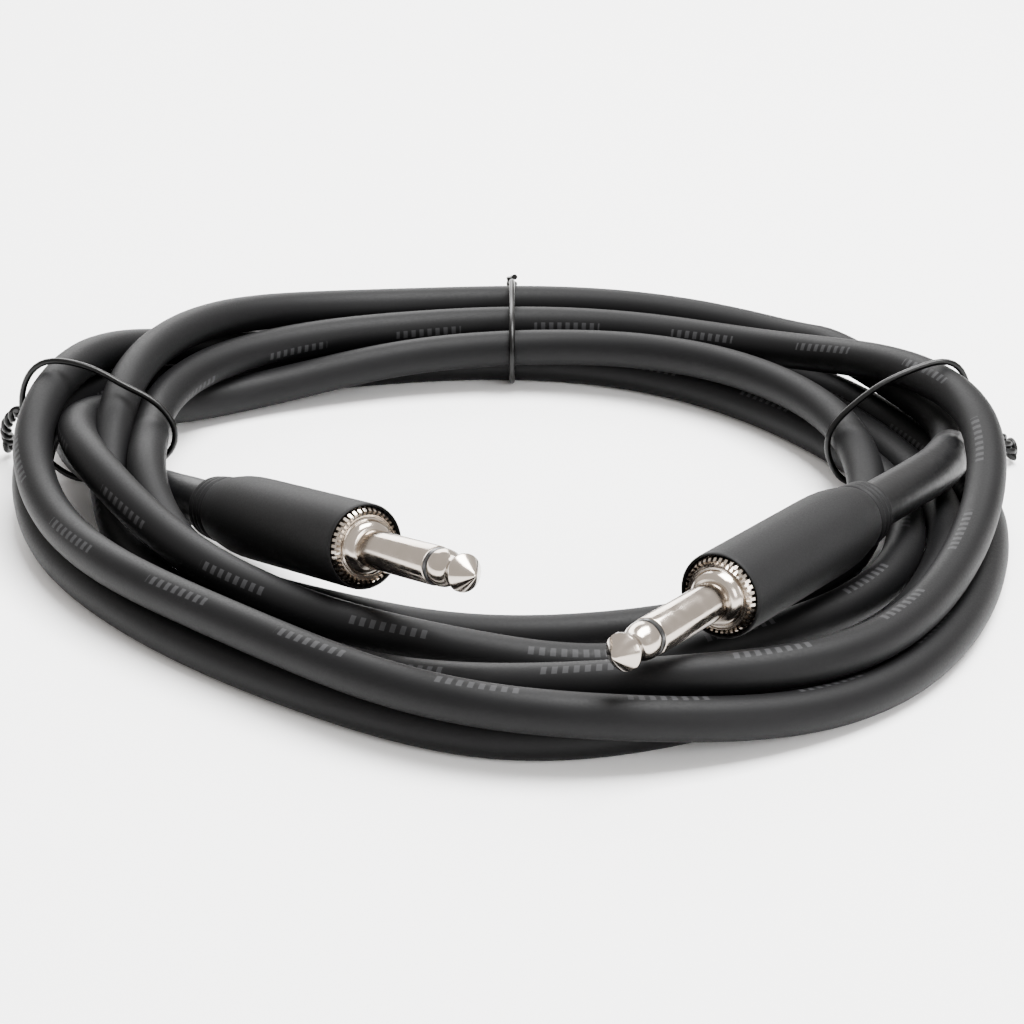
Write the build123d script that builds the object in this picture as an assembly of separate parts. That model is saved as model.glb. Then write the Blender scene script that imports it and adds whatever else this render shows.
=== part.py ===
from build123d import *
import math
import os

# Instrument cable: about 2.8 m of 7 mm screened lead, wound in a loose flat coil on a surface,
# with a 6.35 mm mono jack plug on each end. Millimetres, +Z up, the coil lies on Z = 0, and the
# origin is the middle of the whole object's footprint.

# ---- cable and coil ----
CABLE_D = 7.0
COIL_X, COIL_Y = 1.0, -4.95    # middle of the coil, from the origin
COIL_LOW = 7.6                  # height of the coil where the right plug lies on it
COIL_HIGH = 16.6                # height of the coil everywhere else
LOW_FROM, LOW_TO = -94.0, 38.0  # the low part, degrees anticlockwise from +X
# outline of the coil in plan: angle anticlockwise from +X, distance from the middle
OUTER = [(0, 88), (-15, 89), (-30, 91.5), (-45, 93.5), (-60, 92), (-75, 90), (-90, 89.5), (-106, 81.5),
         (-122, 77.5), (-140, 77), (-155, 80), (-168, 86), (178, 91), (163, 93.5), (148, 98), (134, 101),
         (118, 96.5), (104, 92), (88, 91), (62, 91), (40, 91), (20, 89)]
INNER = [(0, 61), (-18, 54.5), (-36, 48), (-58, 45.5), (-85, 45.5), (-110, 44.5), (-135, 44.5),
         (-155, 51), (-170, 60.5), (177, 65.5), (160, 71), (143, 76.5), (125, 74.5), (106, 70.5),
         (85, 69), (62, 67), (40, 64.5), (20, 63.5)]

# ---- plug: axis along +X, flange face at x = 0, tip towards +X ----
SHAFT_D = 6.35
TIP_X = 30.5                    # end of the tip, from the flange face
RING_X, RING_W = 20.3, 0.9      # black insulating ring between sleeve and tip
SHAFT_BORE = 3.4
STEM_D = 5.6                    # the sleeve's stem, pressed into the collar
ROD_D = 2.0
FLANGE_D, FLANGE_T = 13.0, 2.2
TEETH, TOOTH_DEPTH = 40, 0.55
BOSS_D, BOSS_L = 9.0, 1.6
SPIGOT_D, SPIGOT_END = 9.4, -9.0
BARREL_D, BARREL_END = 12.6, -40.0
BOOT_D, BOOT_END = 14.2, -50.0
RUN_FIT = 0.3                   # room between turning or sliding parts
SHRINK_D = 8.4                  # heat-shrink sleeve over the cable
JACKET_END = -22.5              # where the cable's jacket is cut back inside the barrel
TRAVEL = 5.0                    # how far the barrel backs off the collar

# ---- where the plugs lie: flange face from the coil's middle, heading and rise in degrees ----
LEFT_AT, LEFT_HEADING, LEFT_RISE = (-23.2, -46.5, 18.6), -53.7, 12.4
RIGHT_AT, RIGHT_HEADING, RIGHT_RISE = (32.0, -62.7, 17.6), -124.2, 4.6

# ---- twist ties round the coil: angle in plan, inner and outer distance, top, tail ----
TIE_D = 1.3


def at_coil(x, y, z):
    return Vector(x + COIL_X, y + COIL_Y, z)


def plug_frame(at, heading, rise):
    turn, tilt = math.radians(heading), math.radians(rise)
    along = Vector(math.cos(tilt) * math.cos(turn), math.cos(tilt) * math.sin(turn), math.sin(tilt))
    up = Vector(-math.sin(tilt) * math.cos(turn), -math.sin(tilt) * math.sin(turn), math.cos(tilt))
    return Plane(origin=at_coil(*at), x_dir=along, z_dir=up)


def on_axis(frame, x):
    return frame.origin + frame.x_dir * x


def rod(x0, x1, d, y=0.0, z=0.0):
    start = Plane(origin=(x0, y, z), x_dir=(0, 1, 0), z_dir=(1, 0, 0))
    return extrude(start * Circle(d / 2), amount=x1 - x0)


def tube(x0, x1, outer_d, bore_d):
    return rod(x0, x1, outer_d) - rod(x0 - 1, x1 + 1, bore_d)


def turned(points):
    """A solid turned about the X axis from (x, radius) points, closed along the axis."""
    outline = Polyline(*[(x, r) for x, r in points], close=True)
    return revolve(make_face(outline), axis=Axis.X)


# ---------------------------------------------------------------- plug parts, in the plug's frame

def make_tip():
    ring_front = RING_X + RING_W
    with BuildPart() as part:
        with BuildSketch():
            with BuildLine():
                shoulder = Line((ring_front, 0), (ring_front, 2.75))
                Polyline(shoulder @ 1, (ring_front + 0.25, 3.06), (ring_front + 1.6, 3.0))
                ThreePointArc((ring_front + 1.6, 3.0), (ring_front + 3.1, 2.72), (ring_front + 4.0, 2.15))
                ThreePointArc((ring_front + 4.0, 2.15), (ring_front + 4.9, 2.4), (ring_front + 5.9, 3.05))
                Polyline((ring_front + 5.9, 3.05), (ring_front + 6.6, 3.0), (TIP_X - 0.15, 0.45),
                         (TIP_X, 0.2), (TIP_X, 0), (ring_front, 0))
            make_face()
        revolve(axis=Axis.X)
    return part.part + rod(-11.8, ring_front, ROD_D)


def make_tip_ring():
    ring = turned([(RING_X, 0), (RING_X, 3.05), (RING_X + RING_W, 2.95), (RING_X + RING_W, 0)])
    return ring - rod(RING_X - 1, RING_X + RING_W + 1, ROD_D)


def make_sleeve():
    """The ground contact: full diameter in front of the collar, with a thinner stem inside it."""
    return tube(-8.0, BOSS_L, STEM_D, SHAFT_BORE) + tube(BOSS_L, RING_X, SHAFT_D, SHAFT_BORE)


def make_rod_insulator():
    return tube(-9.0, RING_X, SHAFT_BORE, ROD_D)


def make_collar():
    """Turned flange with a coin edge, a domed boss for the shaft and a threaded spigot behind."""
    r = FLANGE_D / 2
    body = turned([(SPIGOT_END, 0), (SPIGOT_END, SPIGOT_D / 2 - 0.3), (SPIGOT_END + 0.3, SPIGOT_D / 2),
                   (-FLANGE_T, SPIGOT_D / 2), (-FLANGE_T, r), (-0.9, r), (-0.1, r - 1.0), (-0.1, r - 1.25),
                   (-0.35, r - 1.35), (-0.35, r - 1.5), (0.0, r - 1.6), (0.0, BOSS_D / 2),
                   (0.9, BOSS_D / 2 - 0.25), (BOSS_L, SHAFT_D / 2 + 0.35), (BOSS_L, 0)])
    notch = Pos(-0.55, 0, r - 0.25) * Rot(0, 40, 0) * Box(2.6, 0.5, TOOTH_DEPTH * 2)
    notches = [Rot(i * 360 / TEETH, 0, 0) * notch for i in range(TEETH)]
    body = body - notches
    return body - rod(-8.0, BOSS_L + 1, STEM_D) - rod(SPIGOT_END - 1, 0, SHAFT_BORE)


def make_ground_clamp():
    """Ring tag against the collar, a strip along the cable and a claw closed on its jacket."""
    tag = tube(SPIGOT_END - 0.6, SPIGOT_END, 8.8, 4.2)
    strip = Pos(-20.3, 0, -3.9) * Box(22.0, 3.4, 0.6)
    claw = tube(-31.0, -27.0, 8.3, CABLE_D + 0.1) - Pos(-29, 0, 4) * Box(6, 3.0, 6)
    neck = Pos(-9.3, 0, -3.3) * Box(0.6, 3.4, 1.8)
    return tag + neck + strip + claw - rod(JACKET_END - 20, JACKET_END + 1, CABLE_D + 0.1)


def make_rear_washer():
    return tube(SPIGOT_END - 1.6, SPIGOT_END - 0.6, 7.0, ROD_D)


def make_tip_tag():
    eye = tube(SPIGOT_END - 2.2, SPIGOT_END - 1.6, 5.2, ROD_D)
    lug = Pos(-13.1, 0, 1.65) * Box(5.0, 2.4, 0.6)
    return eye + lug


def make_barrel():
    """Metal shell: thread at the front, wide bore for the joints, a lip at the rear."""
    shell = tube(BARREL_END, -FLANGE_T - 0.2, BARREL_D, SPIGOT_D + 0.5)
    wide = rod(BARREL_END + 2.0, SPIGOT_END + 0.5, 11.0)
    return shell - wide


def make_boot():
    """Soft cover over the barrel, with a lip round the flange and a ribbed neck on the cable."""
    r = BOOT_D / 2
    neck = SHRINK_D / 2 + 1.5 * RUN_FIT
    rib, groove = 5.75, 5.3
    outline = [(-0.5, FLANGE_D / 2 + RUN_FIT), (-0.3, r - 0.45), (-0.5, r - 0.15), (-0.9, r),
               (-33.0, r), (-38.0, r - 0.25), (-42.5, r - 0.8), (-45.0, 5.9), (-45.5, groove)]
    for i in range(3):
        x = -45.7 - 1.45 * i
        outline += [(x - 0.1, rib - 0.12 * i), (x - 0.85, rib - 0.12 * i), (x - 1.0, groove - 0.1 * i)]
    outline += [(BOOT_END, 5.1), (BOOT_END, neck), (BARREL_END, neck), (BARREL_END, BARREL_D / 2),
                (-FLANGE_T - 0.2, BARREL_D / 2), (-FLANGE_T - 0.2, FLANGE_D / 2 + RUN_FIT)]
    return turned(outline)


def make_liner():
    return tube(BARREL_END + 2.3, SPIGOT_END - 1.3, 10.4, 9.8)


def make_core():
    return rod(JACKET_END, -17.5, 3.0)


def make_conductor():
    return rod(-17.5, -12.5, 1.0, z=0.7)


def make_shield():
    return rod(JACKET_END, -14.5, 1.2, z=-2.85)


def make_solder():
    on_tag = rod(-14.2, -12.6, 2.2, z=0.7) - rod(-16, -12, 1.0, z=0.7) - Pos(-13, 0, 3.35) * Box(6, 4, 4)
    on_strip = rod(-17.0, -14.7, 2.4, z=-2.85) - rod(-18, -14, 1.2, z=-2.85) - Pos(-16, 0, -5.6) * Box(6, 4, 4)
    return Compound([on_tag.solids()[0], on_strip.solids()[0]])


PLUG_PARTS = {
    "tip": make_tip, "tip_ring": make_tip_ring, "sleeve": make_sleeve,
    "rod_insulator": make_rod_insulator, "collar": make_collar, "ground_clamp": make_ground_clamp,
    "rear_washer": make_rear_washer, "tip_tag": make_tip_tag, "barrel": make_barrel,
    "boot": make_boot, "liner": make_liner, "core": make_core, "conductor": make_conductor,
    "shield": make_shield, "solder": make_solder,
}


# ---------------------------------------------------------------- cable

def cord_path(name, points):
    """Straight runs joined by tangent arcs, each as large as its two runs allow."""
    runs = [b - a for a, b in zip(points, points[1:])]
    turns = [a.get_angle(b) for a, b in zip(runs, runs[1:])]
    radii = [0.45 * min(a.length, b.length) / math.tan(math.radians(turn / 2))
             for a, b, turn in zip(runs, runs[1:], turns)]
    print(name, "runs", [round(r.length, 1) for r in runs], "turns", [round(t) for t in turns],
          "radii", [round(r, 1) for r in radii])
    return FilletPolyline(*points, radius=radii) if len(radii) > 1 else FilletPolyline(*points, radius=radii[0])


def along(path, section, start=0.0, end=1.0):
    """Sweep a section along part of a path, and check the volume against section times length."""
    spine = Wire(path.edges()) if not isinstance(path, Wire) else path
    if start > 0.0 or end < 1.0:
        spine = spine.trim(start, end)
    face = Plane(origin=spine @ 0, z_dir=spine % 0) * section
    solid = sweep(face, path=spine)
    print("   volume ratio", round(solid.volume / (section.area * spine.length), 4))
    return solid


def closed_outline(points):
    places = [(r * math.cos(math.radians(a)), r * math.sin(math.radians(a))) for a, r in points]
    return make_face(Spline(*places, periodic=True))


def make_coil(cuts):
    """The coil's outer shape: a low ring, higher everywhere but under the right plug."""
    ring = closed_outline(OUTER) - closed_outline(INNER)
    low = extrude(ring, amount=COIL_LOW)
    high = extrude(ring, amount=COIL_HIGH)
    sector = [(0, 0)] + [(150 * math.cos(math.radians(a)), 150 * math.sin(math.radians(a)))
                         for a in (LOW_FROM, -50, -6, LOW_TO)]
    gap = extrude(make_face(Polyline(*sector, close=True)), amount=COIL_HIGH + 1)
    coil = Pos(COIL_X, COIL_Y, 0) * (low + (high - gap))
    for cut in cuts:
        coil = coil - cut
    return coil


def make_tie(angle, r_in, r_out, top, tail):
    """Plastic-coated wire round the coil, its twisted ends sticking out along the tail points."""
    turn = math.radians(angle)
    z0 = TIE_D / 2

    def place(r, z, side=0.0):
        return at_coil(r * math.cos(turn) - side * math.sin(turn), r * math.sin(turn) + side * math.cos(turn), z)

    middle = (r_in + r_out) / 2
    corners = [place(r_in, z0), place(r_out, z0), place(r_out, top), place(middle, top + 1.2), place(r_in, top)]
    loop = FilletPolyline(*corners, radius=3.0, close=True)
    start = Wire(loop.edges())
    ring = sweep(Plane(origin=start @ 0, z_dir=start % 0) * Circle(TIE_D / 2), path=start)
    points = [place(*p) for p in tail]
    run = FilletPolyline(*points, radius=2.5)
    spine = Wire(run.edges())
    twist = sweep(Plane(origin=spine @ 0, z_dir=spine % 0) * Circle(TIE_D * 0.75), path=spine)
    return ring + twist


# ---------------------------------------------------------------- assembly

def main():
    os.makedirs("parts", exist_ok=True)
    shapes = {name: make() for name, make in PLUG_PARTS.items()}
    left = plug_frame(LEFT_AT, LEFT_HEADING, LEFT_RISE)
    right = plug_frame(RIGHT_AT, RIGHT_HEADING, RIGHT_RISE)
    nodes = {}
    for side, frame in (("left", left), ("right", right)):
        for name, shape in shapes.items():
            nodes[f"{side}_{name}"] = frame.location * shape

    disc, shrink = Circle(CABLE_D / 2), Circle(SHRINK_D / 2) - Circle(CABLE_D / 2)
    left_points = [on_axis(left, JACKET_END), on_axis(left, -62.0), at_coil(-74.2, 12.6, 4.9),
                   at_coil(-83.0, 28.4, 5.0), at_coil(-84.2, 46.4, 4.9), at_coil(-77.5, 63.0, 4.0)]
    right_points = [on_axis(right, JACKET_END), on_axis(right, -96.0), at_coil(66.0, 59.5, 11.0)]
    left_path = cord_path("left tail", left_points)
    right_path = cord_path("right tail", right_points)
    nodes["left_cable_tail"] = along(left_path, disc)
    nodes["right_cable_tail"] = along(right_path, disc)
    nodes["left_cable_sleeve"] = along(left_path, shrink, 12.0 / left_path.length, 58.0 / left_path.length)
    nodes["right_cable_sleeve"] = along(right_path, shrink, 12.0 / right_path.length, 67.0 / right_path.length)

    ties = {
        "back_tie": make_tie(90.0, 67.5, 92.6, 17.4, [(93.0, 14.0), (96.0, 10.0), (97.0, 4.5), (99.0, 1.2)]),
        "left_tie": make_tie(157.0, 69.5, 97.5, 17.4, [(97.5, 12.0), (101.5, 9.0), (102.5, 4.0, 4.0),
                                                       (101.5, 1.2, 8.0)]),
        "right_tie": make_tie(21.5, 62.0, 91.6, 15.6, [(91.7, 9.0), (96.0, 6.5), (98.0, 3.0, -4.0),
                                                      (98.5, 1.2, -8.0)]),
    }
    nodes.update(ties)

    cuts = []
    for frame in (left, right):
        back = frame.location * rod(BOOT_END - TRAVEL - 1.0, 0.5, BOOT_D + 4 * RUN_FIT)
        shaft = frame.location * rod(0, TIP_X + 1, SHAFT_D + 2)
        cuts += [back, shaft]
    cuts += [along(left_path, Circle(SHRINK_D / 2 + RUN_FIT), 0.0, 60.0 / left_path.length),
             nodes["left_cable_tail"], nodes["right_cable_tail"], nodes["right_cable_sleeve"]]
    cuts += list(ties.values())
    nodes["cable_coil"] = make_coil(cuts)

    whole = Compound([s for node in nodes.values() for s in node.solids()]).bounding_box()
    print("box", whole.min, whole.max, "middle", whole.center())
    for name, node in nodes.items():
        export_step(Compound(node.solids()), f"parts/{name}.step")


main()
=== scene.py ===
"""Looks of a coiled instrument lead with two jack plugs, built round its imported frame, in metres."""
import math

import bpy
import numpy as np
from bpy.props import FloatProperty, IntProperty, PointerProperty, StringProperty
from mathutils import Matrix, Vector
from mathutils.geometry import convex_hull_2d


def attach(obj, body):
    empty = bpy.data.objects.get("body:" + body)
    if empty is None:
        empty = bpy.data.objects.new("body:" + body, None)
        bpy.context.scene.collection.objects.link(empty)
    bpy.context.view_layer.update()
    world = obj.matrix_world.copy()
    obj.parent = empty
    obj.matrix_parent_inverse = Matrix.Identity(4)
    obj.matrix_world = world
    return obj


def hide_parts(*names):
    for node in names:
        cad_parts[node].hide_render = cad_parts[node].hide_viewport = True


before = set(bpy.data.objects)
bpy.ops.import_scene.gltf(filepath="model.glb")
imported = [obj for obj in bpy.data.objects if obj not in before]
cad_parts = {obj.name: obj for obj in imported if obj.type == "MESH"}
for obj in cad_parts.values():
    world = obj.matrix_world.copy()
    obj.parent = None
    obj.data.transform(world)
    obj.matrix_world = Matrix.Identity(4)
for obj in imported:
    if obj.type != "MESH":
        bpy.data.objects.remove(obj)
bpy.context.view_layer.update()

bl_info = {
    "name": "Instrument Lead",
    "version": (1, 0, 0),
    "blender": (4, 5, 0),
    "location": "View3D > Sidebar > Instrument Lead",
    "description": "Builds a coiled instrument lead with two jack plugs, sleeves and twist ties",
    "category": "Object",
}

MM = 0.001
COIL_MIDDLE = Vector((1.0, -4.95, 0.0)) * MM
SIDES = ("left", "right")

# Flange face from the coil's middle in mm, then the plug's heading and rise in degrees.
PLUGS = {
    "left": ((-23.2, -46.5, 18.6), -53.7, 12.4),
    "right": ((32.0, -62.7, 17.6), -124.2, 4.6),
}

# The free ends of the cable in mm from the coil's middle, from the cut-back jacket in each plug to
# the coil. A number stands for a point on the plug's axis, that far behind its flange face.
LEFT_END = [-22.5, -43.7, -62.0, (-74.2, 12.6, 4.9), (-83.0, 28.4, 5.0), (-84.2, 46.4, 4.9)]
RIGHT_END = [-22.5, -50.0, -96.0, (66.0, 59.5, 11.0)]

# How the turns lie, going clockwise from the left end to the right: the angle in degrees anticlockwise
# from +X, and the cable's distance from the coil's middle and its height there in mm.
LAY = [
    (141, 99.9, 4), (125, 98, 3.5), (105, 92, 3.5), (90, 88.5, 3.5), (60, 86, 3.5), (30, 84, 3.5),
    (0, 83.5, 3.5), (-20, 84, 3.5), (-35, 86.5, 3.5), (-50, 89.5, 3.5), (-65, 88, 4.5), (-78, 86.5, 7.5),
    (-90, 86.5, 9.8), (-102, 81, 9.8), (-117, 74, 10), (-135, 72, 10), (-155, 77, 10), (-168, 80.5, 10),
    (-183, 86, 10), (-198, 86, 12), (-215, 89, 9), (-230, 85, 5), (-250, 81, 3.5), (-270, 80, 3.5),
    (-300, 78.5, 3.5), (-330, 76.5, 3.5), (-385, 76.5, 3.5), (-405, 78.5, 3.5), (-425, 80.5, 3.5),
    (-438, 82.5, 3.5), (-450, 84.5, 3.5), (-460, 79.5, 3.5), (-471, 75, 3.5), (-483, 73, 3.5),
    (-498, 73, 3.5), (-515, 76, 3.5), (-524, 79, 3.5), (-536, 84.5, 3.5), (-548, 87.5, 6),
    (-562, 89, 11.5), (-575, 88, 8), (-587, 82.5, 4.2), (-597, 77, 3.5), (-609, 73.5, 3.5),
    (-628, 72, 3.5), (-650, 71, 3.5), (-671, 68, 3.5), (-690, 67, 3.5), (-720, 70.5, 3.5),
    (-744, 69.5, 3.5), (-761, 65.5, 3.5), (-780, 61.5, 4.5), (-797, 62, 6), (-810, 59, 7),
    (-822, 57, 8.5), (-836, 57.5, 9.5), (-857, 59.5, 9.7), (-868, 61.5, 10), (-882, 65.5, 10.5),
    (-896, 72, 12), (-905, 77.5, 13), (-915, 80.5, 13.5), (-930, 81, 10.5), (-945, 75.5, 9.8),
    (-957, 70, 9.4), (-977, 67.5, 9.2), (-990, 67, 9.2), (-1010, 67.5, 9.2), (-1030, 67, 9.5),
    (-1050, 66, 9.8), (-1065, 65, 9), (-1080, 63.5, 6.5), (-1095, 61.5, 4), (-1110, 58.5, 3.5),
    (-1125, 54.5, 3.5), (-1140, 51, 3.5), (-1155, 49, 3.5), (-1170, 48.5, 3.5), (-1205, 48.5, 3.5),
    (-1216, 51, 3.5), (-1228, 56, 3.8), (-1240, 60, 6), (-1252, 63.5, 9.5), (-1262, 66, 12),
    (-1275, 70, 12.5), (-1290, 75, 12), (-1303, 77.5, 11), (-1320, 77.5, 10), (-1350, 77, 9.7),
    (-1375, 77, 9.9), (-1395, 78.5, 11), (-1411, 80.5, 13.5), (-1422, 82.5, 16), (-1434, 84, 16.5),
    (-1446, 83, 13.5), (-1457, 81.5, 10.5), (-1467, 81, 9.8), (-1487, 85.5, 9.8), (-1499, 84.5, 9.8),
    (-1509, 81, 9.6), (-1516, 78.5, 9.4), (-1527, 73, 9.3), (-1540, 68.5, 7.5), (-1557, 64.5, 4),
    (-1575, 63.5, 3.5), (-1593, 66, 4.5), (-1607, 68.5, 8.5), (-1620, 71.5, 12), (-1635, 75.5, 14.5),
    (-1648, 79.5, 16), (-1664, 83.5, 15.5), (-1681, 87, 13.5), (-1710, 87.5, 12.5), (-1735, 87.5, 12.2),
    (-1746, 88.5, 11.3), (-1758, 88.9, 11),
]

# How the turns settle: lengths in mm, and shares of a whole for each round.
LAY_STEP = 7.5           # degrees between worked-out places
ROUNDS = 460
PULL_ENDS = 0.7          # share of the rounds over which the strong pull to the lay dies away
STRONG_PULL = 0.1
LASTING_PULL = 0.03      # sideways only
NEIGHBOURS = 5           # pieces fewer than this apart along the cable never push each other
SEARCH = 17.0            # pieces whose middles are farther apart than this are left out
AIR = 0.15               # left between two turns
PUSH = 0.3               # share of an overlap that is taken away
LIFT = 1.8               # how much more a turn is moved up or down than aside
KEEP_OFF = 0.5           # share taken away of an overlap with a plug
EASING = 0.12            # share of a sudden change in bend that is taken up
SINKING = 0.01           # how far the turns sink while they find their rest

# Each boot as the turns meet it: places along the axis and radii in mm.
BOOT_END, BOOT_SHOULDER, BOOT_FRONT = -52.0, -38.0, 0.0
BOOT_NECK_RADIUS, BOOT_RADIUS = 6.0, 7.1
BOOT_AIR = 0.2
END_AIR = 0.1


# ---------------------------------------------------------------- sizes and colours

class LeadSizes(bpy.types.PropertyGroup):
    cable: FloatProperty(
        name="Cable", description="Outer diameter of the jacket", default=7 * MM, unit="LENGTH")
    sleeve: FloatProperty(
        name="Sleeve", description="Outer diameter of the shrunk sleeves", default=8.4 * MM, unit="LENGTH")
    left_sleeve: FloatProperty(
        name="Left Sleeve", description="Where the left sleeve ends, along the cable", default=58 * MM,
        unit="LENGTH")
    right_sleeve: FloatProperty(
        name="Right Sleeve", description="Where the right sleeve ends, along the cable", default=67 * MM,
        unit="LENGTH")
    wire: FloatProperty(
        name="Tie Wire", description="Diameter of the coated tie wire", default=1.15 * MM, unit="LENGTH")
    floor: FloatProperty(
        name="Floor", description="Width of the floor", default=6.0, unit="LENGTH")
    cable_sides: IntProperty(
        name="Cable Sides", description="Faces round the cable", default=24, min=12, max=48)
    teeth: IntProperty(
        name="Teeth", description="Teeth round each collar's edge", default=40, min=12, max=60)


class LeadColours(bpy.types.PropertyGroup):
    jacket: StringProperty(name="Jacket", description="Cable jacket, sRGB hex", default="080809")
    print_ink: StringProperty(name="Ink", description="Printed bars, sRGB hex", default="4a4a4c")
    boot: StringProperty(name="Boot", description="Moulded boots, sRGB hex", default="0c0c0d")
    sleeve: StringProperty(name="Sleeve", description="Shrunk sleeves, sRGB hex", default="080809")
    tie: StringProperty(name="Tie", description="Tie wire coating, sRGB hex", default="020202")
    nickel: StringProperty(name="Nickel", description="Nickel plate, sRGB hex", default="bcb2a7")
    floor: StringProperty(name="Floor", description="Floor, sRGB hex", default="ffffff")


def sizes():
    return bpy.context.scene.lead_sizes


def colours():
    return bpy.context.scene.lead_colours


# ---------------------------------------------------------------- small helpers

def linear(text):
    """An sRGB hex colour as linear red, green, blue and alpha."""
    values = [int(text[i:i + 2], 16) / 255 for i in (0, 2, 4)]
    return tuple(v / 12.92 if v <= 0.04045 else ((v + 0.055) / 1.055) ** 2.4 for v in values) + (1.0,)


def plug_matrix(side):
    """The plug's own frame: +X to the tip, origin at the middle of the flange's face."""
    (x, y, z), heading, rise = PLUGS[side]
    turn = Matrix.Rotation(math.radians(heading), 4, "Z") @ Matrix.Rotation(math.radians(-rise), 4, "Y")
    return Matrix.Translation(COIL_MIDDLE + Vector((x, y, z)) * MM) @ turn


def end_points(side, places):
    """The places of a free end in metres."""
    matrix = plug_matrix(side)
    return [COIL_MIDDLE + Vector(p) * MM if isinstance(p, tuple) else matrix @ Vector((p * MM, 0, 0))
            for p in places]


def deselect():
    bpy.ops.object.select_all(action="DESELECT")


def as_piece(name, mesh, material):
    """Links a finished mesh as a piece with its material."""
    piece = bpy.data.objects.new(name, mesh)
    bpy.context.scene.collection.objects.link(piece)
    mesh.materials.clear()
    mesh.materials.append(bpy.data.materials[material])
    return piece


def nurbs_line(places, steps):
    """Points along one smooth NURBS curve that has these places as its control points."""
    curve = bpy.data.curves.new("route", "CURVE")
    curve.dimensions = "3D"
    curve.resolution_u = steps
    spline = curve.splines.new("NURBS")
    spline.points.add(len(places) - 1)
    for point, place in zip(spline.points, places):
        point.co = (*place, 1.0)
    spline.order_u = 3
    spline.use_endpoint_u = True
    holder = bpy.data.objects.new("route", curve)
    mesh = bpy.data.meshes.new_from_object(holder)
    line = [v.co.copy() for v in mesh.vertices]
    bpy.data.objects.remove(holder)
    bpy.data.curves.remove(curve)
    bpy.data.meshes.remove(mesh)
    return line


def distances(line):
    """How far along the line each point is."""
    total = [0.0]
    for a, b in zip(line, line[1:]):
        total.append(total[-1] + (b - a).length)
    return total


def tube_mesh(name, line, radii, sides, closed=False):
    """A tube round a line of points. UV holds the share of a turn, from above, and the metres along."""
    steep = 0.3  # a line whose upward side is shorter than this has no clear top
    righting = 0.1  # share of the way back to its top that the tube turns at each point
    count = len(line)
    tangents = []
    for i in range(count):
        before = line[i - 1] if i or closed else line[i]
        after = line[(i + 1) % count] if i < count - 1 or closed else line[i]
        tangents.append((after - before).normalized())
    side = tangents[0].orthogonal()
    level = Vector((0, 0, 1)) - tangents[0] * tangents[0].z
    if level.length > steep:
        side = level.normalized()
    verts = []
    for place, tangent, radius in zip(line, tangents, radii):
        side = (side - tangent * side.dot(tangent)).normalized()
        up = Vector((0, 0, 1)) - tangent * tangent.z
        if up.length > steep and not closed:
            side = side.lerp(up.normalized(), righting).normalized()
        across = tangent.cross(side)
        for k in range(sides):
            angle = 2 * math.pi * k / sides
            verts.append(place + (side * math.cos(angle) + across * math.sin(angle)) * radius)
    rings = count if closed else count - 1
    faces = []
    for i in range(rings):
        j = (i + 1) % count
        for k in range(sides):
            n = (k + 1) % sides
            faces.append((i * sides + k, i * sides + n, j * sides + n, j * sides + k))
    if not closed:
        faces.append(tuple(range(sides))[::-1])
        faces.append(tuple((count - 1) * sides + k for k in range(sides)))
    mesh = bpy.data.meshes.new(name)
    mesh.from_pydata(verts, [], faces)
    along = distances(line + line[:1] if closed else line)
    layer = mesh.uv_layers.new(name="UVMap")
    for i in range(rings):
        for k in range(sides):
            loop = 4 * (i * sides + k)
            corners = ((k, i), (k + 1, i), (k + 1, i + 1), (k, i + 1))
            for step, (u, v) in enumerate(corners):
                layer.data[loop + step].uv = (u / sides, along[v])
    mesh.shade_smooth()
    for face in mesh.polygons[rings * sides:]:
        face.use_smooth = False
    return mesh


# ---------------------------------------------------------------- materials

def add(tree, kind, settings=(), inputs=()):
    """Adds one node with its settings, and links or fills its inputs."""
    node = tree.nodes.new(kind)
    for name, value in dict(settings).items():
        setattr(node, name, value)
    for name, value in dict(inputs).items():
        if isinstance(value, bpy.types.NodeSocket):
            tree.links.new(value, node.inputs[name])
        else:
            node.inputs[name].default_value = value
    return node


def new_material(name):
    """Makes a material, and gives its node tree and its surface shader."""
    material = bpy.data.materials.new(name)
    material.use_nodes = True
    tree = material.node_tree
    tree.nodes.clear()
    shader = add(tree, "ShaderNodeBsdfPrincipled")
    add(tree, "ShaderNodeOutputMaterial", inputs={"Surface": shader.outputs[0]})
    return tree, shader


def fill(shader, **values):
    """Sets a shader's plain values, named with _ for a space."""
    for name, value in values.items():
        shader.inputs[name.replace("_", " ")].default_value = value


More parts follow.
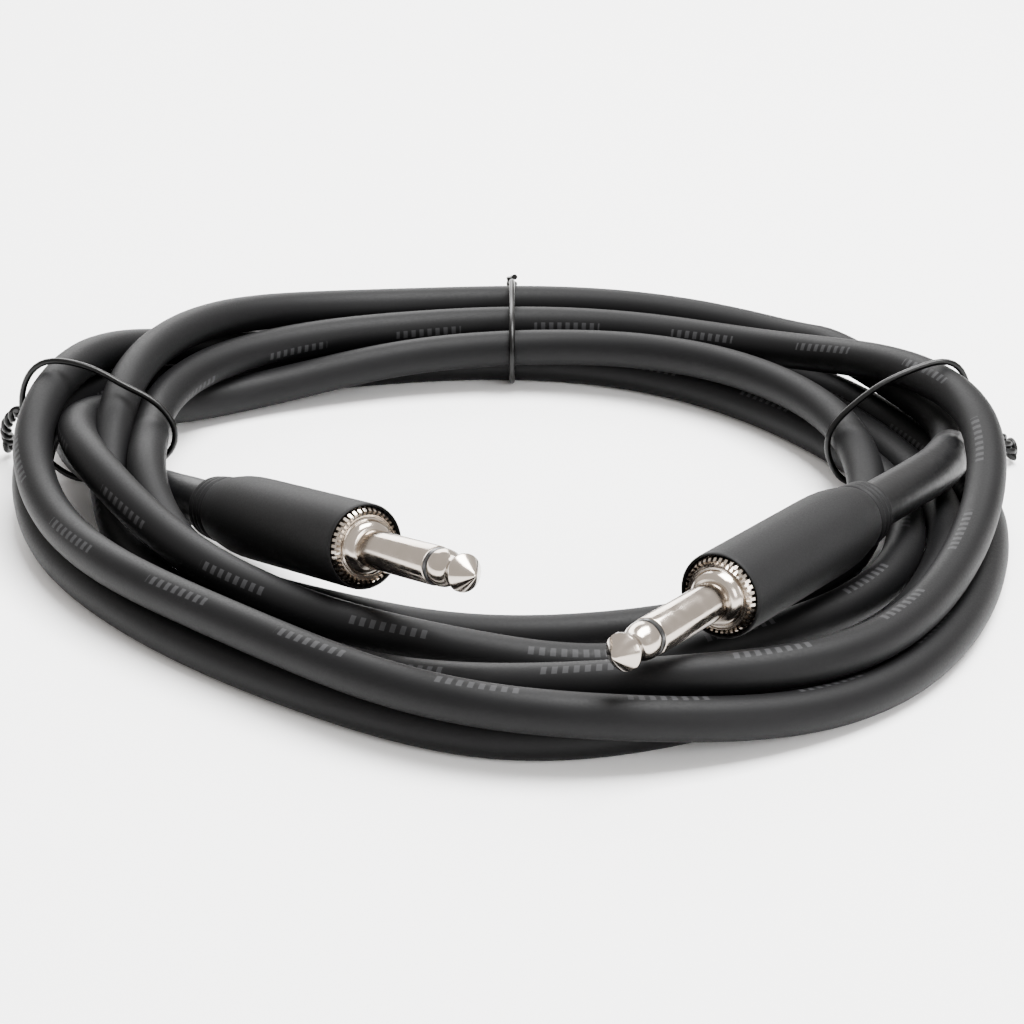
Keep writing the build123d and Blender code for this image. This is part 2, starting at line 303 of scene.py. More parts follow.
def grain(tree, shader, place, size_mm, depth_mm, rough_low, rough_high, colour_low, colour_high):
    """Fine mottle in roughness and height, size_mm across, and a slow one in colour, 40 times as wide."""
    noise = add(tree, "ShaderNodeTexNoise", inputs={
        "Vector": place, "Scale": 1.0 / (size_mm * MM), "Detail": 6.0, "Roughness": 0.6})
    broad = add(tree, "ShaderNodeTexNoise", inputs={
        "Vector": place, "Scale": 1.0 / (40 * size_mm * MM), "Detail": 3.0, "Roughness": 0.5})
    tone = add(tree, "ShaderNodeMapRange", inputs={
        "Value": broad.outputs["Fac"], "From Min": 0.3, "From Max": 0.7})
    colour = add(tree, "ShaderNodeMix", {"data_type": "RGBA"}, {
        0: tone.outputs[0], 6: colour_low, 7: colour_high})
    rough = add(tree, "ShaderNodeMapRange", inputs={
        "Value": noise.outputs["Fac"], "From Min": 0.3, "From Max": 0.7, "To Min": rough_low,
        "To Max": rough_high})
    bump = add(tree, "ShaderNodeBump", inputs={
        "Height": noise.outputs["Fac"], "Distance": depth_mm * MM, "Strength": 0.6})
    tree.links.new(colour.outputs[2], shader.inputs["Base Color"])
    tree.links.new(rough.outputs[0], shader.inputs["Roughness"])
    tree.links.new(bump.outputs[0], shader.inputs["Normal"])
    return colour


def object_place(tree, side=None):
    """Object coordinates, in the plug's own frame where a side is given."""
    place = add(tree, "ShaderNodeTexCoord").outputs["Object"]
    if side is None:
        return place
    matrix = plug_matrix(side).inverted()
    return add(tree, "ShaderNodeMapping", inputs={
        "Vector": place, "Location": matrix.to_translation(), "Rotation": matrix.to_euler()}).outputs[0]


def shade(text, factor):
    """A linear colour made lighter or darker."""
    r, g, b, a = linear(text)
    return (r * factor, g * factor, b * factor, a)


def extruded_pvc():
    """Plasticised PVC, extruded: a satin black skin with a fine mottle and printed bars."""
    tree, shader = new_material("extruded PVC jacket")
    fill(shader, IOR=1.5, Specular_IOR_Level=0.13)
    uv = add(tree, "ShaderNodeUVMap", {"uv_map": "UVMap"}).outputs[0]
    colour = grain(tree, shader, object_place(tree), size_mm=0.35, depth_mm=0.02, rough_low=0.5,
                   rough_high=0.62, colour_low=shade(colours().jacket, 0.88),
                   colour_high=shade(colours().jacket, 1.12))
    split = add(tree, "ShaderNodeSeparateXYZ", inputs={"Vector": uv})
    # the print wanders once round the cable in this many metres, as a lead twists when it is coiled
    wander_length = 0.9
    half_height = 0.034  # share of the way round, 0.75 mm on this cable
    strength = 0.3
    wander = add(tree, "ShaderNodeMath", {"operation": "MULTIPLY_ADD"}, {
        0: split.outputs[1], 1: 1 / wander_length, 2: split.outputs[0]})
    turn = add(tree, "ShaderNodeMath", {"operation": "FRACT"}, {0: wander.outputs[0]})
    off = add(tree, "ShaderNodeMath", {"operation": "SUBTRACT"}, {0: turn.outputs[0], 1: 0.5})
    away = add(tree, "ShaderNodeMath", {"operation": "ABSOLUTE"}, {0: off.outputs[0]})
    ink = add(tree, "ShaderNodeMath", {"operation": "LESS_THAN"}, {0: away.outputs[0], 1: half_height})
    # rows of 0.9 mm bars, 1.7 mm apart, in groups of eight every 29 mm
    for pitch, share in ((29 * MM, 0.47), (1.7 * MM, 0.52)):
        steps = add(tree, "ShaderNodeMath", {"operation": "DIVIDE"}, {0: split.outputs[1], 1: pitch})
        repeat = add(tree, "ShaderNodeMath", {"operation": "FRACT"}, {0: steps.outputs[0]})
        bar = add(tree, "ShaderNodeMath", {"operation": "LESS_THAN"}, {0: repeat.outputs[0], 1: share})
        ink = add(tree, "ShaderNodeMath", {"operation": "MULTIPLY"}, {0: ink.outputs[0], 1: bar.outputs[0]})
    thin = add(tree, "ShaderNodeMath", {"operation": "MULTIPLY"}, {0: ink.outputs[0], 1: strength})
    printed = add(tree, "ShaderNodeMix", {"data_type": "RGBA"}, {
        0: thin.outputs[0], 6: colour.outputs[2], 7: linear(colours().print_ink)})
    tree.links.new(printed.outputs[2], shader.inputs["Base Color"])


def moulded_rubber():
    """Soft PVC rubber, moulded: neutral, matte, with the fine spark-eroded grain of its mould."""
    tree, shader = new_material("moulded soft PVC boot")
    fill(shader, IOR=1.5, Specular_IOR_Level=0.16)
    grain(tree, shader, object_place(tree), size_mm=0.28, depth_mm=0.03, rough_low=0.55, rough_high=0.68,
          colour_low=shade(colours().boot, 0.92), colour_high=shade(colours().boot, 1.08))


def shrunk_polyolefin():
    """Polyolefin, shrunk by heat: satin, with slight ripples where it drew in."""
    tree, shader = new_material("shrunk polyolefin sleeve")
    fill(shader, IOR=1.5, Specular_IOR_Level=0.22)
    grain(tree, shader, object_place(tree), size_mm=0.9, depth_mm=0.05, rough_low=0.36, rough_high=0.5,
          colour_low=shade(colours().sleeve, 0.9), colour_high=shade(colours().sleeve, 1.1))


def coated_wire():
    """PVC over iron wire, dip coated: black, smooth and a little glossy."""
    tree, shader = new_material("PVC coated tie wire")
    fill(shader, IOR=1.53, Specular_IOR_Level=0.2)
    grain(tree, shader, object_place(tree), size_mm=0.3, depth_mm=0.01, rough_low=0.28, rough_high=0.4,
          colour_low=shade(colours().tie, 0.9), colour_high=shade(colours().tie, 1.1))


def turned_nickel(side):
    """Nickel plate on turned brass: a warm mirror with the lathe's fine rings and handling smudges."""
    ring_pitch = 0.12 * MM
    smudge_size = 2.5 * MM
    tree, shader = new_material(f"turned nickel plate {side}")
    fill(shader, Metallic=1.0)
    place = object_place(tree, side)
    split = add(tree, "ShaderNodeSeparateXYZ", inputs={"Vector": place})
    rings = add(tree, "ShaderNodeTexNoise", {"noise_dimensions": "1D"}, {
        "W": split.outputs[0], "Scale": 1 / ring_pitch, "Detail": 2.0})
    smudge = add(tree, "ShaderNodeTexNoise", inputs={
        "Vector": place, "Scale": 1 / smudge_size, "Detail": 5.0})
    rough = add(tree, "ShaderNodeMapRange", inputs={
        "Value": smudge.outputs["Fac"], "From Min": 0.3, "From Max": 0.7, "To Min": 0.1, "To Max": 0.24})
    bump = add(tree, "ShaderNodeBump", inputs={
        "Height": rings.outputs["Fac"], "Distance": 0.004 * MM, "Strength": 0.5})
    tone = add(tree, "ShaderNodeMix", {"data_type": "RGBA"}, {
        0: smudge.outputs["Fac"], 6: shade(colours().nickel, 0.85), 7: linear(colours().nickel)})
    tree.links.new(tone.outputs[2], shader.inputs["Base Color"])
    tree.links.new(rough.outputs[0], shader.inputs["Roughness"])
    tree.links.new(bump.outputs[0], shader.inputs["Normal"])


# name, sRGB low and high, metallic, roughness low and high, grain in mm, depth in mm, IOR or None
PLAIN_FINISHES = [
    ("plated steel shell", "a9a59e", "bcb8b1", 1.0, 0.25, 0.4, 0.6, 0.01, None),
    ("moulded black nylon", "0c0c0d", "121213", 0.0, 0.25, 0.35, 0.4, 0.01, 1.53),
    ("tinned brass stamping", "b3ae9c", "c5c0ae", 1.0, 0.3, 0.42, 0.5, 0.01, None),
    ("punched vulcanised fibre", "6b2f1d", "7d3a25", 0.0, 0.6, 0.75, 0.3, 0.03, 1.5),
    ("extruded clear tube", "c9c9c4", "dcdcd8", 0.0, 0.2, 0.3, 0.6, 0.01, 1.5),
    ("extruded polyethylene core", "dcdad2", "eae8e0", 0.0, 0.4, 0.5, 0.5, 0.01, 1.51),
    ("drawn bare copper", "b8704a", "cf8458", 1.0, 0.3, 0.4, 0.25, 0.02, None),
    ("flowed tin solder", "b4b4b2", "cacac8", 1.0, 0.2, 0.35, 0.8, 0.03, None),
]


def plain_finishes():
    """The metals and plastics inside the plugs, each with its own grain."""
    for name, low, high, metallic, rough_low, rough_high, size, depth, ior in PLAIN_FINISHES:
        tree, shader = new_material(name)
        fill(shader, Metallic=metallic)
        if ior is not None:
            fill(shader, IOR=ior)
        grain(tree, shader, object_place(tree), size, depth, rough_low, rough_high,
              colour_low=linear(low), colour_high=linear(high))


NODE_FINISH = {
    "barrel": "plated steel shell", "rod_insulator": "moulded black nylon",
    "ground_clamp": "tinned brass stamping", "tip_tag": "tinned brass stamping",
    "rear_washer": "punched vulcanised fibre", "liner": "extruded clear tube",
    "core": "extruded polyethylene core", "conductor": "drawn bare copper",
    "shield": "drawn bare copper", "solder": "flowed tin solder",
}


# ---------------------------------------------------------------- the cable's route

def nearest_places(p, q, r, s):
    """For pairs of straight pieces p-q and r-s, how far along each the nearest places lie."""
    first, second, gap = q - p, s - r, p - r
    a = (first * first).sum(-1)
    e = (second * second).sum(-1)
    b = (first * second).sum(-1)
    c = (first * gap).sum(-1)
    f = (second * gap).sum(-1)
    spread = np.maximum(a * e - b * b, 1e-9)
    along_first = np.clip((b * f - c * e) / spread, 0, 1)
    along_second = np.clip((b * along_first + f) / e, 0, 1)
    return np.clip((b * along_second - c) / a, 0, 1), along_second


def pushed_apart(points, one, other, room):
    """How far each point moves, as pairs of pieces nearer than room push each other off."""
    middle = (points[:-1] + points[1:]) / 2
    near = ((middle[one] - middle[other]) ** 2).sum(1) < SEARCH ** 2
    i, j = one[near], other[near]
    s, t = nearest_places(points[i], points[i + 1], points[j], points[j + 1])
    apart = (points[i] * (1 - s)[:, None] + points[i + 1] * s[:, None]
             - points[j] * (1 - t)[:, None] - points[j + 1] * t[:, None])
    gap = np.sqrt((apart ** 2).sum(1))
    close = gap < room
    apart *= (1, 1, LIFT)
    length = np.maximum(np.sqrt((apart ** 2).sum(1)), 1e-6)
    push = (PUSH * (room - gap) * close / length)[:, None] * apart
    moved = np.zeros_like(points)
    weight = np.zeros(len(points))
    for index, share, sign in ((i, 1 - s, 1), (i + 1, s, 1), (j, 1 - t, -1), (j + 1, t, -1)):
        np.add.at(moved, index, sign * push * share[:, None])
        np.add.at(weight, index, close * share)
    return moved / np.maximum(weight, 1)[:, None]


def keep_off(points, start, end, room):
    """Moves the points that lie nearer than room to a straight obstacle, but not the coil's ends."""
    run = end - start
    share = np.clip((points - start) @ run / (run @ run), 0, 1)
    away = points - start - share[:, None] * run
    gap = np.sqrt((away ** 2).sum(1))
    inside = gap < room
    inside[:3] = False
    inside[-3:] = False
    points[inside] += away[inside] * (KEEP_OFF * (room - gap[inside]) / gap[inside])[:, None]


def bend_change(points):
    """How much the bend at each point differs from its neighbours' mean."""
    bend = np.zeros_like(points)
    bend[1:-1] = (points[:-2] + points[2:]) / 2 - points[1:-1]
    change = np.zeros_like(points)
    change[2:-2] = (bend[1:-3] + bend[3:-1]) / 2 - bend[2:-2]
    return change


def coil_turns(diameter, obstacles):
    """The turns in mm: worked out along the lay, then settled until they hardly touch."""
    angle, distance, height = (np.array(column, float) for column in zip(*LAY))
    turn = np.arange(angle[0], angle[-1] - 0.01, -LAY_STEP)
    out = np.interp(-turn, -angle, distance)
    up = np.interp(-turn, -angle, height)
    points = np.stack([out * np.cos(np.radians(turn)), out * np.sin(np.radians(turn)), up], axis=1)
    lay = points.copy()
    one, other = np.triu_indices(len(points) - 1, NEIGHBOURS)
    for count in range(ROUNDS):
        strong = STRONG_PULL * max(0.0, 1 - count / (PULL_ENDS * ROUNDS))
        points += (lay - points) * (strong + LASTING_PULL, strong + LASTING_PULL, strong)
        points += pushed_apart(points, one, other, diameter + AIR)
        for start, end, room in obstacles:
            keep_off(points, start, end, room)
        points -= EASING * bend_change(points)
        points[:, 2] = np.maximum(points[:, 2] - SINKING, diameter / 2)
        points[0] = lay[0]
        points[-1] = lay[-1]
    return points


def cable_places():
    """The whole cable's control points in metres, from the left plug round the coil to the right."""
    left = end_points("left", LEFT_END)
    right = end_points("right", RIGHT_END)
    diameter = sizes().cable / MM
    clear = (sizes().sleeve + sizes().cable) / 2 / MM + END_AIR
    obstacles = []
    for side, ends in (("left", left), ("right", right)):
        local = [np.array(p - COIL_MIDDLE) / MM for p in ends]
        obstacles += [(a, b, clear) for a, b in zip(local[1:], local[2:])]
        matrix = plug_matrix(side)
        back, shoulder, front = (np.array(matrix @ Vector((x * MM, 0, 0)) - COIL_MIDDLE) / MM
                                 for x in (BOOT_END, BOOT_SHOULDER, BOOT_FRONT))
        obstacles.append((back, shoulder, BOOT_NECK_RADIUS + diameter / 2 + BOOT_AIR))
        obstacles.append((shoulder, front, BOOT_RADIUS + diameter / 2 + BOOT_AIR))
    turns = [COIL_MIDDLE + Vector(p) * MM for p in coil_turns(diameter, obstacles)]
    return left + turns + right[-2::-1]


def part_of_line(line, start, end):
    """The points of a line between two distances along it."""
    along = distances(line)
    return [p for p, d in zip(line, along) if start <= d <= end]


# ---------------------------------------------------------------- operators

class LEAD_OT_materials(bpy.types.Operator):
    """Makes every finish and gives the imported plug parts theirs"""
    bl_idname = "lead.materials"
    bl_label = "Finishes"

    def execute(self, context):
        extruded_pvc()
        moulded_rubber()
        shrunk_polyolefin()
        coated_wire()
        plain_finishes()
        for side in SIDES:
            turned_nickel(side)
            for part, finish in NODE_FINISH.items():
                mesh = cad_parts[f"{side}_{part}"].data
                mesh.materials.clear()
                mesh.materials.append(bpy.data.materials[finish])
        return {"FINISHED"}


class LEAD_OT_cable(bpy.types.Operator):
    """Lays the cable from plug to plug in its loose coil"""
    bl_idname = "lead.cable"
    bl_label = "Cable"

    CURVE_STEPS = 8  # rings of faces for each control point

    def execute(self, context):
        line = nurbs_line(cable_places(), self.CURVE_STEPS)
        mesh = tube_mesh("cable", line, [sizes().cable / 2] * len(line), sizes().cable_sides)
        cable = as_piece("cable", mesh, "extruded PVC jacket")
        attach(cable, "root")
        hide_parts("cable_coil", "left_cable_tail", "right_cable_tail")
        context.scene["cable_line"] = [list(p) for p in line]
        return {"FINISHED"}


class LEAD_OT_plugs(bpy.types.Operator):
    """Turns the contacts, the collar and the boot of each plug"""
    bl_idname = "lead.plugs"
    bl_label = "Plugs"

    # outlines as (place along the axis, radius) in mm, from the front to the back
    TIP = [(30.5, 0.0), (30.46, 0.22), (30.3, 0.45), (27.85, 2.88), (27.6, 3.04), (27.2, 3.04), (26.9, 2.9),
           (26.3, 2.52), (25.8, 2.28), (25.2, 2.15), (24.7, 2.22), (24.2, 2.42), (23.6, 2.68),
           (22.9, 2.93), (22.2, 3.03), (21.6, 3.05), (21.35, 2.95), (21.2, 2.75), (21.2, 0.0)]
    RING = [(21.2, 0.0), (21.2, 2.9), (21.1, 3.02), (20.4, 3.02), (20.3, 2.9), (20.3, 0.0)]
    SLEEVE = [(20.3, 0.0), (20.3, 2.95), (20.22, 3.1), (20.05, 3.17), (1.6, 3.17), (1.6, 0.0)]
    COLLAR = [(1.6, 0.0), (1.6, 3.5), (1.5, 3.75), (1.2, 4.1), (0.75, 4.38), (0.2, 4.5), (0.0, 4.62),
              (-0.02, 4.9), (-0.2, 4.97), (-0.2, 5.1), (0.0, 5.17), (0.0, 5.3), (-0.18, 5.36),
              (-0.5, 5.5), (-1.45, 6.22), (-2.2, 6.22), (-2.2, 4.7), (-8.7, 4.7), (-9.0, 4.4), (-9.0, 0.0)]
    BOOT = [(-0.85, 6.68), (-0.72, 6.78), (-0.72, 6.9), (-0.85, 7.02), (-1.1, 7.08), (-1.6, 7.1),
            (-33.0, 7.1), (-36.0, 7.04), (-38.5, 6.85), (-40.5, 6.55), (-42.5, 6.2), (-44.0, 5.92),
            (-44.7, 5.7), (-45.0, 5.5), (-45.2, 5.5), (-45.45, 5.72), (-45.9, 5.82), (-46.35, 5.7),
            (-46.6, 5.4), (-46.8, 5.4), (-47.0, 5.58), (-47.45, 5.68), (-47.9, 5.56), (-48.15, 5.26),
            (-48.35, 5.26), (-48.55, 5.42), (-49.0, 5.5), (-49.4, 5.42), (-49.85, 5.15), (-50.0, 4.9),
            (-50.0, 4.65), (-40.0, 4.65), (-40.0, 6.32), (-2.4, 6.32), (-2.4, 6.68), (-0.85, 6.68)]

    SHARP_EDGE = math.radians(32)  # edges sharper than this are not smoothed
    MERGED = 0.004 * MM  # corners nearer than this become one
    AROUND = 96  # faces round a piece
    AROUND_RING = 64
    FACES_A_TOOTH = 4
    TOOTHED_FROM, TOOTHED_TO, TOOTHED_OUTSIDE = -1.5, -0.5, 5.5  # the collar's sloping edge, in mm
    TOOTH_HEIGHT = 0.5 * MM

    def execute(self, context):
        for side in SIDES:
            nickel = f"turned nickel plate {side}"
            self.turned(side, "tip", self.TIP, self.AROUND, nickel, "nickel_plate")
            self.turned(side, "tip_ring", self.RING, self.AROUND_RING, "moulded black nylon",
                        "black_insulator")
            self.turned(side, "sleeve", self.SLEEVE, self.AROUND, nickel, "nickel_plate")
            around_teeth = self.FACES_A_TOOTH * sizes().teeth
            self.turned(side, "collar", self.COLLAR, around_teeth, nickel, "nickel_plate", toothed=True)
            self.turned(side, "boot", self.BOOT, self.AROUND, "moulded soft PVC boot", "boot_rubber")
        return {"FINISHED"}

    def turned(self, side, part, outline, steps, finish, slot, toothed=False):
        """One piece spun about the plug's axis from its outline."""
        deselect()
        bpy.ops.mesh.primitive_circle_add(vertices=len(outline), radius=MM)
        shape = bpy.context.object
        mesh = shape.data
        for vertex, (x, r) in zip(mesh.vertices, outline):
            vertex.co = (x * MM, 0, r * MM)
        bpy.ops.object.mode_set(mode="EDIT")
        bpy.ops.mesh.select_all(action="SELECT")
        bpy.ops.mesh.spin(steps=steps, angle=2 * math.pi, center=(0, 0, 0), axis=(1, 0, 0))
        bpy.ops.mesh.select_all(action="SELECT")
        bpy.ops.mesh.remove_doubles(threshold=self.MERGED)
        bpy.ops.mesh.normals_make_consistent(inside=False)
        if toothed:
            self.cut_teeth(mesh)
        bpy.ops.object.mode_set(mode="OBJECT")
        bpy.ops.object.shade_smooth_by_angle(angle=self.SHARP_EDGE)
        mesh.transform(plug_matrix(side))
        mesh.materials.clear()
        mesh.materials.append(bpy.data.materials[finish])
        shape.name = f"{side}_{part}_turned"
        mesh.name = shape.name
        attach(shape, f"{side}_shell" if part == "boot" else "root")
        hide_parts(f"{side}_{part}")

    def cut_teeth(self, mesh):
        """Raises every other stretch of the collar's sloping edge into a tooth."""
        bpy.ops.mesh.select_all(action="DESELECT")
        bpy.ops.object.mode_set(mode="OBJECT")
        pitch = 2 * math.pi / sizes().teeth
        for face in mesh.polygons:
            x, y, z = face.center / MM
            sloping = self.TOOTHED_FROM < x < self.TOOTHED_TO and math.hypot(y, z) > self.TOOTHED_OUTSIDE
            face.select = sloping and (math.atan2(z, y) / pitch) % 1.0 < 0.5
        bpy.ops.object.mode_set(mode="EDIT")
        bpy.ops.mesh.select_mode(type="FACE")
        bpy.ops.mesh.extrude_region_shrink_fatten(
            TRANSFORM_OT_shrink_fatten={"value": self.TOOTH_HEIGHT})
        bpy.ops.mesh.select_mode(type="VERT")


class LEAD_OT_sleeves(bpy.types.Operator):
    """Shrinks a sleeve over the cable behind each boot"""
    bl_idname = "lead.sleeves"
    bl_label = "Shrunk Sleeves"

    START = 12 * MM  # along the cable, inside the boot
    CLOSING = 2.5 * MM
    LINING = 0.12 * MM
    RIPPLE = 0.05 * MM
    SHORT_RIPPLE, LONG_RIPPLE = 1.9 * MM, 4.3 * MM
    AROUND = 32

    def execute(self, context):
        line = [Vector(p) for p in context.scene["cable_line"]]
        for side, end in (("left", sizes().left_sleeve), ("right", sizes().right_sleeve)):
            part = part_of_line(line if side == "left" else line[::-1], self.START, end)
            along = distances(part)
            radii = [self.radius(d, along[-1]) for d in along]
            mesh = tube_mesh(f"{side}_sleeve", part, radii, self.AROUND)
            piece = as_piece(f"{side}_sleeve", mesh, "shrunk polyolefin sleeve")
            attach(piece, "root")
            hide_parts(f"{side}_cable_sleeve")
        return {"FINISHED"}

    def radius(self, d, length):
        """The sleeve keeps its width, with slight ripples, and closes down on the cable at its end."""
        full = sizes().sleeve / 2
        bare = sizes().cable / 2 + self.LINING
        share = min(1.0, (length - d) / self.CLOSING)
        ripple = self.RIPPLE * math.sin(d / self.SHORT_RIPPLE) * math.sin(d / self.LONG_RIPPLE)
        return bare + (full - bare) * math.sqrt(max(share, 0.0)) + ripple * share


class LEAD_OT_ties(bpy.types.Operator):
    """Bends the three wire ties round the coil"""
    bl_idname = "lead.ties"
    bl_label = "Twist Ties"

    # angle round the coil in degrees, slack in mm, then the twist's way out in mm: distance, height, side
    TIES = {
        "back_tie": (90.0, 0.5, [
            (93.0, 14.0, 0.0), (95.5, 10.0, 0.0), (96.5, 4.5, 0.0), (98.0, 1.4, 0.0)]),
        "left_tie": (165.0, 1.2, [
            (94.0, 13.0, 0.0), (97.5, 10.0, -2.0), (99.5, 5.0, -5.0), (99.8, 2.0, -8.0)]),
        "right_tie": (17.0, 0.8, [
            (91.0, 9.0, 0.0), (95.0, 6.5, 0.0), (97.5, 3.0, 0.5), (98.6, 1.4, 1.0)]),
    }
    FIT = 0.2 * MM  # between a cable and its tie, before the slack
    CORNERS = 24  # round each turn that a loop is drawn over
    LOOP_STEP = 1.0 * MM
    LOOP_SIDES = 12
    BOW = 0.08  # how far a free stretch of a loop bows out, as a share of its length
    ROUNDINGS = 6
    TWIST_STEPS = 24
    TWIST_PITCH = 4.5 * MM
    TWIST_SIDES = 10
    RING_RADIUS = 1.5 * MM
    RING_OFFSET = Vector((1.2, 0, 1.1)) * MM
    RING_LOWEST = 2.2 * MM
    RING_STEPS = 32

    def execute(self, context):
        line = [Vector(p) - COIL_MIDDLE for p in context.scene["cable_line"]]
        for name, (angle, slack, way_out) in self.TIES.items():
            out = Vector((math.cos(math.radians(angle)), math.sin(math.radians(angle)), 0))
            aside = Vector((-out.y, out.x, 0))
            loop = self.loop(line, out, aside, slack * MM)
            radii = [sizes().wire / 2] * len(loop)
            parts = [tube_mesh(name, loop, radii, self.LOOP_SIDES, closed=True)]
            places = [COIL_MIDDLE + (out * r + aside * s + Vector((0, 0, z))) * MM for r, z, s in way_out]
            twisted = nurbs_line(places, self.TWIST_STEPS)
            parts += self.twist(name, twisted)
            parts.append(self.ring(name, twisted[-1], aside))
            piece = self.join(name, parts)
            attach(piece, "root")
            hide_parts(name)
        return {"FINISHED"}

    def loop(self, line, out, aside, slack):
        """The way of a wire drawn round every turn of the cable that crosses this direction."""
        rim = []
        room = sizes().cable / 2 + sizes().wire / 2 + self.FIT + slack
        for a, b in zip(line, line[1:]):
            before, after = a.dot(aside), b.dot(aside)
            if before * after < 0 and a.dot(out) > 0:
                cut = a.lerp(b, before / (before - after))
                for k in range(self.CORNERS):
                    angle = 2 * math.pi * k / self.CORNERS
                    rim.append((cut.dot(out) + room * math.cos(angle),
                                max(cut.z + room * math.sin(angle), sizes().wire / 2)))
        hull = [Vector(rim[i]) for i in convex_hull_2d(rim)]
        middle = sum(hull, Vector((0, 0))) / len(hull)
        bowed = []
        for a, b in zip(hull, hull[1:] + hull[:1]):
            away = (b - a).orthogonal().normalized()
            if away.dot(a - middle) < 0:
                away.negate()
            steps = max(1, int((b - a).length / self.LOOP_STEP))
            sag = self.BOW * (b - a).length
            bowed += [a.lerp(b, k / steps) + away * sag * math.sin(math.pi * k / steps)
                      for k in range(steps)]
        for _ in range(self.ROUNDINGS):
            bowed = [(bowed[k - 1] + bowed[k] + bowed[(k + 1) % len(bowed)]) / 3
                     for k in range(len(bowed))]
        return [COIL_MIDDLE + out * r + Vector((0, 0, max(z, sizes().wire / 2))) for r, z in bowed]

    def twist(self, name, line):
        """Two wires wound round each other."""
        along = distances(line)
        wires = []
        for start in (0.0, math.pi):
            points = []
            for i, (place, d) in enumerate(zip(line, along)):
                tangent = (line[min(i + 1, len(line) - 1)] - line[max(i - 1, 0)]).normalized()
                side = tangent.cross(Vector((0, 0, 1))).normalized()
                up = side.cross(tangent)
                angle = start + 2 * math.pi * d / self.TWIST_PITCH
                offset = (side * math.cos(angle) + up * math.sin(angle)) * sizes().wire * 0.5
                points.append(place + offset)
            wires.append(tube_mesh(name, points, [sizes().wire / 2] * len(points), self.TWIST_SIDES))
        return wires

    def ring(self, name, place, aside):
        """The cut ends, turned back on themselves into a small ring."""
        centre = place + Vector((0, 0, self.RING_OFFSET.z)) + aside * self.RING_OFFSET.x
        centre.z = max(centre.z, self.RING_LOWEST)
        points = [centre + (aside * math.cos(a) + Vector((0, 0, 1)) * math.sin(a)) * self.RING_RADIUS
                  for a in (2 * math.pi * k / self.RING_STEPS for k in range(self.RING_STEPS))]
        radii = [sizes().wire / 2] * self.RING_STEPS
        return tube_mesh(name, points, radii, self.TWIST_SIDES, closed=True)

    @staticmethod
    def join(name, meshes):
        """One piece from several meshes."""
        deselect()
        pieces = [as_piece(f"{name}_{i}", mesh, "PVC coated tie wire")
                  for i, mesh in enumerate(meshes)]
        for piece in pieces:
            piece.select_set(True)
        bpy.context.view_layer.objects.active = pieces[0]
        bpy.ops.object.join()
        pieces[0].name = f"{name}_wire"
        return pieces[0]


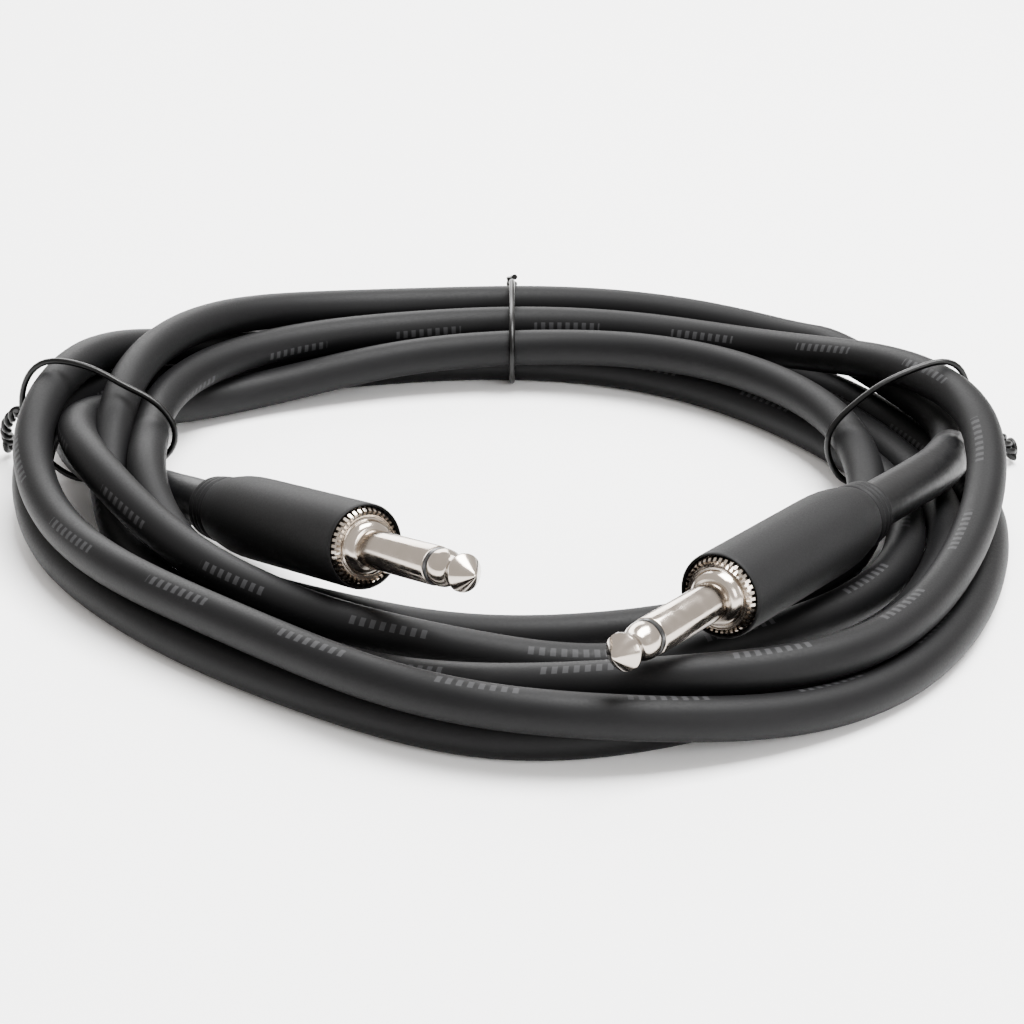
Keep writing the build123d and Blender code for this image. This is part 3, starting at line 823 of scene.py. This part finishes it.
class LEAD_OT_stage(bpy.types.Operator):
    """Sets the floor, the soft lights and the camera"""
    bl_idname = "lead.stage"
    bl_label = "Stage"

    # name, place and width in metres, power in watts
    LIGHTS = [
        ("key", (0.25, 0.1, 1.0), 0.7, 52.0),
        ("fill", (0.75, -0.8, 0.5), 0.5, 10.0),
        ("rim", (-0.2, 0.95, 0.5), 0.6, 12.0),
    ]
    SKY = "f0ece8"
    SKY_STRENGTH = 1.2
    CAMERA_TILT = math.radians(25)
    CAMERA_DISTANCE = 514.3 * MM

    def execute(self, context):
        deselect()
        bpy.ops.mesh.primitive_plane_add(size=sizes().floor)
        floor = context.object
        floor.name = "floor"
        shader = new_material("painted studio floor")[1]
        fill(shader, Base_Color=linear(colours().floor), Roughness=0.9, Specular_IOR_Level=0.1)
        floor.data.materials.append(bpy.data.materials["painted studio floor"])
        for name, place, width, power in self.LIGHTS:
            light = bpy.data.lights.new(name, "AREA")
            light.size = width
            light.energy = power
            holder = bpy.data.objects.new(name, light)
            holder.location = place
            holder.rotation_euler = (COIL_MIDDLE - Vector(place)).to_track_quat("-Z", "Y").to_euler()
            context.scene.collection.objects.link(holder)
        world = bpy.data.worlds.new("studio")
        world.use_nodes = True
        fill(world.node_tree.nodes["Background"], Color=linear(self.SKY), Strength=self.SKY_STRENGTH)
        context.scene.world = world
        self.camera(context)
        return {"FINISHED"}

    def camera(self, context):
        """Looks down at the coil's middle from the open side, with a long lens."""
        data = bpy.data.cameras.new("camera")
        data.lens = 101.4
        data.sensor_width = 36.0
        data.shift_y = 0.0176
        data.clip_start = 0.01
        camera = bpy.data.objects.new("camera", data)
        tilt = self.CAMERA_TILT
        camera.location = COIL_MIDDLE + Vector((0, -math.cos(tilt), math.sin(tilt))) * self.CAMERA_DISTANCE
        camera.rotation_euler = (math.pi / 2 - tilt, 0, 0)
        context.scene.collection.objects.link(camera)
        context.scene.camera = camera


class LEAD_PT_panel(bpy.types.Panel):
    """Lists the pieces of the lead, their sizes and their colours"""
    bl_idname = "LEAD_PT_panel"
    bl_label = "Instrument Lead"
    bl_space_type = "VIEW_3D"
    bl_region_type = "UI"
    bl_category = "Instrument Lead"

    def draw(self, context):
        for operator in STEPS:
            self.layout.operator(operator.bl_idname)
        for group in (context.scene.lead_sizes, context.scene.lead_colours):
            for name in group.__annotations__:
                self.layout.prop(group, name)


STEPS = (LEAD_OT_materials, LEAD_OT_plugs, LEAD_OT_cable, LEAD_OT_sleeves, LEAD_OT_ties, LEAD_OT_stage)
CLASSES = (LeadSizes, LeadColours, LEAD_PT_panel) + STEPS


def register():
    for cls in CLASSES:
        bpy.utils.register_class(cls)
    bpy.types.Scene.lead_sizes = PointerProperty(type=LeadSizes)
    bpy.types.Scene.lead_colours = PointerProperty(type=LeadColours)


def unregister():
    del bpy.types.Scene.lead_colours
    del bpy.types.Scene.lead_sizes
    for cls in reversed(CLASSES):
        bpy.utils.unregister_class(cls)


def main():
    register()
    bpy.ops.lead.materials()
    bpy.ops.lead.plugs()
    bpy.ops.lead.cable()
    bpy.ops.lead.sleeves()
    bpy.ops.lead.ties()
    bpy.ops.lead.stage()


if __name__ == "__main__":
    main()
